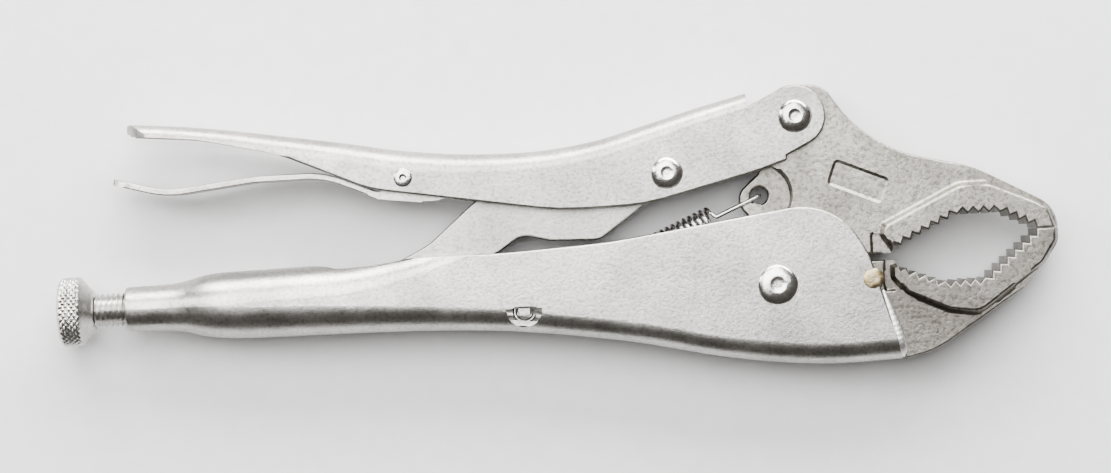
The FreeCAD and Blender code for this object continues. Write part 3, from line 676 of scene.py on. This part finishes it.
def moving_jaw():
    """The forged upper jaw: hub, thin eared neck for the spring, horn and toothed pad."""
    hub, horn, ring = 10.5, LEVER_PIVOT, 6.6
    jaw = prism("moving_jaw_forging", [
        (27.1, 6.1), (hub, 6.1), (hub, -hub, hub - 0.2), (-hub, -hub, hub - 0.2),
        (-hub, 6, 4), (-5.0, 13.0, 4), (-5.5, 16.0, 2), (-9.3, 20.4, 4), (-0.7, 28.2, 2),
        (horn.x - ring, horn.y + ring + 1.0, ring - 0.3),
        (horn.x + ring + 0.6, horn.y + ring + 0.4, ring - 0.6),
        (21.95, 31.15, 32), (46.3, 25.66, 30), (66.0, 15.1, 7.4), (66.0, 8.5),
        (60.9, 8.5), (52.5, 12.5), (43.3, 13.0)], -JAW_HALF, JAW_HALF)
    relieve(jaw, [(22.5, 5.0), (22.5, 10.8, 0.6), (26.0, 10.8), (29.0, 8.0), (29.0, 5.0)], JAW_HALF)
    combine(jaw, bite_pad([
        (27.0, 6.5), (24.4, 10.4, 1), (24.9, 13.0, 2), (43.2, 21.8, 6), (50.2, 21.9, 6),
        (60.4, 17.5, 8), (64.3, 15.4, 3), (66.0, 10.35), (66.0, 8.5), (60.9, 8.5)]), "UNION")
    heel, first_bend, second_bend, nose = (27.1, 6.7), (42.6, 14.3), (52.5, 14.4), (60.9, 10.35)
    bite = [(heel[0], 6.5)] + teeth(heel, first_bend, 7, TOOTH_DEPTH)
    bite += teeth(first_bend, second_bend, 4, TOOTH_DEPTH) + teeth(second_bend, nose, 4, TOOTH_DEPTH)
    bite += [(PAST_NOSE, nose[1]), (PAST_NOSE, 0), (heel[0], 0)]
    combine(jaw, prism("bite", bite, -THROUGH, THROUGH))
    for low, high in ((EAR_HALF, 12), (-12, -EAR_HALF)):
        combine(jaw, disc("ear_recess", SPRING_HOLE, 14.8, low, high, 72))
    combine(jaw, disc("spring_eye", SPRING_HOLE, 4.2, -THROUGH, THROUGH))
    soften(jaw, 0.5, rims_only=True)
    combine(jaw, sloped("mark_recess", [
        (12.2, 22.7, 1.4), (25.4, 17.1, 1.4), (27.8, 23.7, 1.4), (14.6, 29.2, 1.4)],
        ((JAW_HALF - 0.5, 0.98), (JAW_HALF + 0.2, 0))))
    finish_piece(jaw, FORGED, "jaw", ["moving_jaw"])


# ---------------------------------------------------------------- lever, link and release


def lever_handle():
    """The pressed lever: an inverted channel that thins to a flat round tail."""
    low, web_end = 5.0, -5.4
    stations = eased([(x, half, low, top, 1.0 + LEVER_WALL, radius) for x, half, top, radius in (
        (-151.0, 6.2, 44.4, 2.9), (-140.0, 6.6, 43.6, 3.2), (-128.0, 7.0, 42.2, 3.6),
        (-115.0, 7.4, 40.2, 4.0), (-100.0, 7.7, 37.8, 4.4), (-86.0, 7.8, 35.3, 4.6),
        (-71.0, 7.8, 33.8, 4.4), (-55.0, 7.8, 33.7, 4.2), (-41.0, 7.8, 35.5, 4.2),
        (-29.6, 7.8, 38.5, 4.0), (-17.0, 7.8, 42.0, 3.8), (web_end, 7.8, 44.9, 3.4))], 2.5)
    lever = channel("lever_handle_shell", stations)
    reach = 7.2
    along = Vector((math.cos(math.radians(26.5)), math.sin(math.radians(26.5))))
    across = Vector((-along.y, along.x))
    upper, lower = LEVER_PIVOT + (along + across) * reach, LEVER_PIVOT + (along - across) * reach
    back, heel = LEVER_PIVOT - along * 23 + across * reach, LEVER_PIVOT - along * 6 - across * reach
    combine(lever, prism("ears", [
        (back.x, back.y), (back.x, 18), (heel.x, 18), (heel.x, heel.y),
        (lower.x, lower.y, reach - 0.05), (upper.x, upper.y, reach - 0.05)],
        -LEVER_HALF, LEVER_HALF), "UNION")
    hollow = shrunk(stations, LEVER_WALL)
    hollow[0] = (-154.0,) + hollow[0][1:]
    hollow[-1] = (web_end + 0.3,) + hollow[-1][1:]
    combine(lever, channel("hollow", hollow))
    inner = LEVER_HALF - LEVER_WALL
    combine(lever, prism("fork", [(web_end, 0), (FAR, 0), (FAR, 60), (web_end, 60)], -inner, inner))
    combine(lever, prism("below_the_edge", [
        (-160, 42.4), (-134, 40.2, 40), (-115.5, 36.0, 40), (-94, 26.6, 25), (-50, 19.6, 60),
        (-30, 20.0, 40), (-3.5, 26.55, 60), (FAR, 47.8), (FAR, -5), (-160, -5)], -THROUGH, THROUGH))
    tail, tail_root, tail_half = -150.6, -138.6, 6.4
    combine(lever, prism("round_tail", [
        (tail - 9, -40), (tail_root, -40), (tail_root, -tail_half), (tail, -tail_half, 6.2),
        (tail, tail_half, 6.2), (tail_root, tail_half), (tail_root, 40), (tail - 9, 40)], 29, 59, "y"))
    soften(lever, 0.5)
    finish_piece(lever, LEVER, "lever", ["lever_handle"])


def toggle_link():
    """The stamped link between the lever's cheeks, its foot on the screw's tip."""
    end = 5.5
    foot = Vector((FOOT_X, SCREW_Y))
    along = Vector((math.cos(math.radians(18.9)), math.sin(math.radians(18.9))))
    across = Vector((-along.y, along.x))
    lower, upper = LINK_PIVOT + (along - across) * end, LINK_PIVOT + (along + across) * end
    link = prism("toggle_link_plate", [
        (foot.x - 5.4, foot.y + 2.4, 4.0), (foot.x - 2.2, foot.y - 6.1, 4.0),
        (-64.6, 10.4, 6), (-59.0, 14.3, 5), (-52.5, 12.6, 8), (-40.8, 12.3, 4), (-27.2, 21.9, 5),
        (lower.x, lower.y, end - 0.1), (upper.x, upper.y, end - 0.1),
        (-38.0, 31.6, 30), (-59.0, 27.6, 12), (-68.0, 24.2, 3.5), (-81.0, 13.0, 15),
        (-92.0, 7.6, 20)], -LINK_HALF, LINK_HALF)
    radius = LINK_SHAFT + 0.82
    far = LINK_PIVOT + Vector((-4.3, 1.3))
    run = (far - LINK_PIVOT).normalized() * radius
    side = Vector((-run.y, run.x))
    slot = [far + run + side, far + run - side, LINK_PIVOT - run - side, LINK_PIVOT - run + side]
    combine(link, prism("slot", [(*corner, radius - 0.01) for corner in slot], -THROUGH, THROUGH))
    soften(link, 0.5, rims_only=True)
    finish_piece(link, LINK, "link", ["toggle_link"])


def bent_line(corners, spacing):
    """The points of an open line whose inner corners are rounded, about that far apart."""
    line = rounded(corners, 3)
    points = []
    for first, second in zip(line, line[1:]):
        steps = max(1, round((second - first).length / spacing))
        points += [first.lerp(second, k / steps) for k in range(steps)]
    return points + [line[-1]]


def release_lever():
    """The bent strip that frees the toggle, with two ears on its rivet."""
    middle = bent_line([
        (-154.3, 31.2), (-141.5, 27.8, 22), (-121.0, 30.2, 40), (-104.5, 30.4, 22),
        (-91.5, 24.9, 10), (-80.0, 23.6, 12), (-69.6, 25.4)], 1.5)
    rings = []
    full, round_end = RELEASE_HALF - 0.3, 5.0
    for i, point in enumerate(middle):
        ahead = (middle[min(i + 1, len(middle) - 1)] - middle[max(i - 1, 0)]).normalized()
        normal = Vector((-ahead.y, ahead.x)) * (RELEASE_SHEET / 2)
        before_full = round_end - (point - middle[0]).length
        width = full
        if before_full > 0:
            width = full - (round_end - math.sqrt(round_end ** 2 - before_full ** 2)) * 0.95
        up, down = point + normal, point - normal
        rings.append([(up.x, up.y, -width), (up.x, up.y, width),
                      (down.x, down.y, width), (down.x, down.y, -width)])
    strip = loft("release_lever_strip", rings)
    x, y = RELEASE_PIVOT
    outer, inner = RELEASE_HALF, RELEASE_HALF - RELEASE_SHEET
    for low, high in ((inner, outer), (-outer, -inner)):
        combine(strip, prism("ear", [
            (x - 6.5, y - 4.6), (x + 6.0, y - 5.2), (x + 2.6, y + 2.4, 2.3), (x - 2.6, y + 2.4, 2.3),
        ], low, high), "UNION")
    soften(strip, 0.3)
    finish_piece(strip, SHEET, "release", ["release_lever"])


# ---------------------------------------------------------------- rivets, screw and spring


def rivet(name, centre, shaft, head, half_grip, top, body):
    """A rivet with a dome at both ends, and a dimple in each dome from the peening."""
    edge, dimple, steps = 0.3, head * 0.42, 11
    rise = top - half_grip - edge
    crown = []
    for k in range(steps + 1):
        radius = head - (head - dimple) * k / steps
        crown.append((half_grip + edge + rise * (1 - (radius / head) ** 2.6) ** 0.6, radius))
    brim = crown[-1][0]
    crown += [(brim - 0.04, dimple * 0.88), (brim - 0.14, dimple * 0.7),
              (brim - 0.17, dimple * 0.4), (brim - 0.15, 0.01)]
    half = [(0.0, shaft), (half_grip + 0.05, shaft), (half_grip + 0.05, head - 0.08),
            (half_grip + 0.14, head - 0.01)] + crown
    profile = [(-x, radius) for x, radius in half[::-1]] + half[1:]

    def hammered(x, radius, angle):
        return radius * (1 + 0.012 * math.sin(3 * angle + 0.7) + 0.008 * math.sin(5 * angle + 2.1))

    solid = lathe(name + "_turned", profile, 56, hammered)
    turn = Matrix.Rotation(math.radians(-90), 4, "Y")
    solid.data.transform(Matrix.Translation((centre[0], centre[1], 0)) @ turn)
    finish_piece(solid, RIVET, body, [name], 50)


def rivets():
    """Four rivets, the one of the release lever much smaller and flatter."""
    rivet("jaw_rivet", (0, 0), 3.2, 4.6, HANDLE_HALF, DOME_TOP, "frame")
    rivet("lever_rivet", LEVER_PIVOT, 2.7, 3.9, LEVER_HALF, DOME_TOP, "jaw")
    rivet("link_rivet", LINK_PIVOT, LINK_SHAFT, 3.7, LEVER_HALF, DOME_TOP, "lever")
    rivet("release_rivet", RELEASE_PIVOT, 1.5, 2.1, LEVER_HALF, LEVER_HALF + 0.6, "lever")


def screw_shank():
    """The shank with its cut thread, which tapers at the tip."""
    tip, neck, pitch, per_turn = -105.5, -160.0, 1.25, 10
    plain, crest, depth, taper = 2.4, 3.98, 0.72, 1.2
    count = round((tip - neck) / pitch * per_turn)
    profile = [(neck - 4.6, plain), (neck - 0.05, plain)]
    profile += [(neck + (tip - neck) * i / count, crest) for i in range(count + 1)]
    profile.append((tip, 2.6))

    def thread(x, radius, angle):
        if radius < crest:
            return radius
        turns = (x - neck) / pitch + angle / math.tau
        wave = abs((turns % 1) * 2 - 1)
        cut = depth * min(1, max(0, wave * 1.25 - 0.12))
        return radius - cut - taper * (1 - min(1, (tip - x) / taper))

    shank = lathe("screw_thread", profile, 32, thread)
    shank.data.transform(Matrix.Translation((0, SCREW_Y, 0)))
    finish_piece(shank, SCREW, "screw", ["screw_shank"], 55)


def screw_head():
    """The flared head with a diamond knurl round its rim and a hex socket in its end."""
    neck, end, rim = -160.1, -168.3, 8.1
    profile = [(neck, 2.6), (neck, 4.6), (neck - 0.25, 4.9), (neck - 0.9, 5.5)]
    profile += [(neck - 0.9 - 2.0 * k / 6, 5.5 + 2.4 * k / 6) for k in range(1, 7)]
    start, rows = neck - 3.2, 26
    profile += [(start - (start - end - 1.1) * k / rows, rim) for k in range(rows + 1)]
    profile += [(end + 0.7, 7.75), (end + 0.25, 7.2), (end, 6.4), (end, 5.0), (end, 0.01)]
    diamonds, slope, depth = 34, 0.78, 0.42

    def knurl(x, radius, angle):
        if radius < rim:
            return radius
        round_rim, along = angle / math.tau * diamonds, (x - start) * slope
        first = abs(((round_rim + along) % 1) * 2 - 1)
        second = abs(((round_rim - along) % 1) * 2 - 1)
        return radius - depth * max(0, max(first, second) * 1.3 - 0.3)

    head = lathe("screw_knob", profile, diamonds * 8, knurl)
    key_reach = 5.0 / math.sqrt(3)
    corners = [(key_reach * math.cos(math.radians(60 * i)), key_reach * math.sin(math.radians(60 * i)))
               for i in range(6)]
    combine(head, loft("socket", [[(x, y, z) for y, z in corners] for x in (end - 2, end + 3.0)]))
    head.data.transform(Matrix.Translation((0, SCREW_Y, 0)))
    finish_piece(head, SCREW, "knob", ["screw_head"], 40)


def tension_spring():
    """A close-wound spring: a hook in the jaw's eye, and a loop round the tab at the rear."""
    run = SPRING_HOLE - TAB
    wire, coil_radius, turns, coil_start, coil_end = 0.5, 2.75, 28, -12.3, -52.9
    bend = 1.2
    line = [Vector((0, 0, level)) for level in (-coil_radius - wire, 0, coil_radius - bend)]
    line += [Vector((bend * math.cos(a) - bend, 0, coil_radius - bend + bend * math.sin(a)))
             for a in (math.radians(15 * k) for k in range(1, 7))]
    steps, eased_steps = 22, 6
    last = turns * steps
    for k in range(last + 1):
        angle = math.tau * k / steps
        # the wire leads gently into and out of the coil
        lead = max(0, 1 - k / eased_steps) ** 2 - max(0, 1 - (last - k) / eased_steps) ** 2
        along = coil_start + (coil_end - coil_start) * k / last + lead
        line.append(Vector((along, coil_radius * math.sin(angle), coil_radius * math.cos(angle))))
    loop, straight_to, back = 2.3, 4.5, -run.length
    line.append(Vector((back + straight_to, 0, coil_radius)))
    turned = math.acos(loop / straight_to)
    line += [Vector((back + loop * math.cos(turned + a), loop * math.sin(turned + a), coil_radius))
             for a in (math.radians(13 * k) for k in range(21))]
    spring = tube("tension_spring_wire", line, wire)
    fall = Matrix.Rotation(math.atan2(run.y, run.x), 4, "Z")
    spring.data.transform(Matrix.Translation((SPRING_HOLE.x, SPRING_HOLE.y, 0)) @ fall)
    finish_piece(spring, WIRE, None, ["tension_spring"], 50)
    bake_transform(spring)


# ---------------------------------------------------------------- stage, light and camera


def stage():
    """A plain pale floor, which the tool lies on."""
    bm = bmesh.new()
    reach = 3.0
    corners = ((-reach, -reach), (reach, -reach), (reach, reach), (-reach, reach))
    bm.faces.new([bm.verts.new((x, y, 0)) for x, y in corners])
    floor = object_from("floor", bm)
    floor.data.materials.append(pale_floor())


def area_light(name, position, target, width, height, power):
    """A soft box at a position in metres, turned to its target."""
    light = bpy.data.lights.new(name, "AREA")
    light.shape = "RECTANGLE"
    light.size, light.size_y = width, height
    light.energy = power
    lamp = bpy.data.objects.new(name, light)
    lamp.location = position
    lamp.rotation_euler = (Vector(target) - Vector(position)).to_track_quat("-Z", "Y").to_euler()
    bpy.context.scene.collection.objects.link(lamp)


def lights():
    """Soft boxes overhead, at the left and low beyond the lever, in a dim warm room."""
    world = bpy.data.worlds.new("studio")
    bpy.context.scene.world = world
    world.use_nodes = True
    background = world.node_tree.nodes["Background"]
    background.inputs["Color"].default_value = (0.50, 0.47, 0.44, 1)
    background.inputs["Strength"].default_value = 0.22
    area_light("overhead", (-0.1, 0.32, 0.95), (0, 0.05, 0), 0.9, 0.75, 12)
    area_light("from_left", (-0.9, 0.35, 0.45), (0, 0, 0), 0.25, 0.9, 6)
    area_light("rim", (0.15, 0.80, 0.36), (0, 0, 0), 1.3, 0.5, 22)


def camera():
    """Straight above the tool, and turned a little about the line of sight."""
    height, roll = 0.735, -2.7
    lens = bpy.data.cameras.new("camera")
    lens.lens = 100
    lens.dof.use_dof = False
    view = bpy.data.objects.new("camera", lens)
    view.location = (0, 0, height)
    view.rotation_euler = (0, 0, math.radians(roll))
    bpy.context.scene.collection.objects.link(view)
    bpy.context.scene.camera = view
    bpy.context.scene.view_settings.view_transform = "AgX"
    bpy.context.scene.view_settings.look = "AgX - Medium High Contrast"


fixed_handle()
fixed_jaw()
weld_beads()
braze_plugs()
moving_jaw()
lever_handle()
toggle_link()
release_lever()
rivets()
screw_shank()
screw_head()
tension_spring()
stage()
lights()
camera()
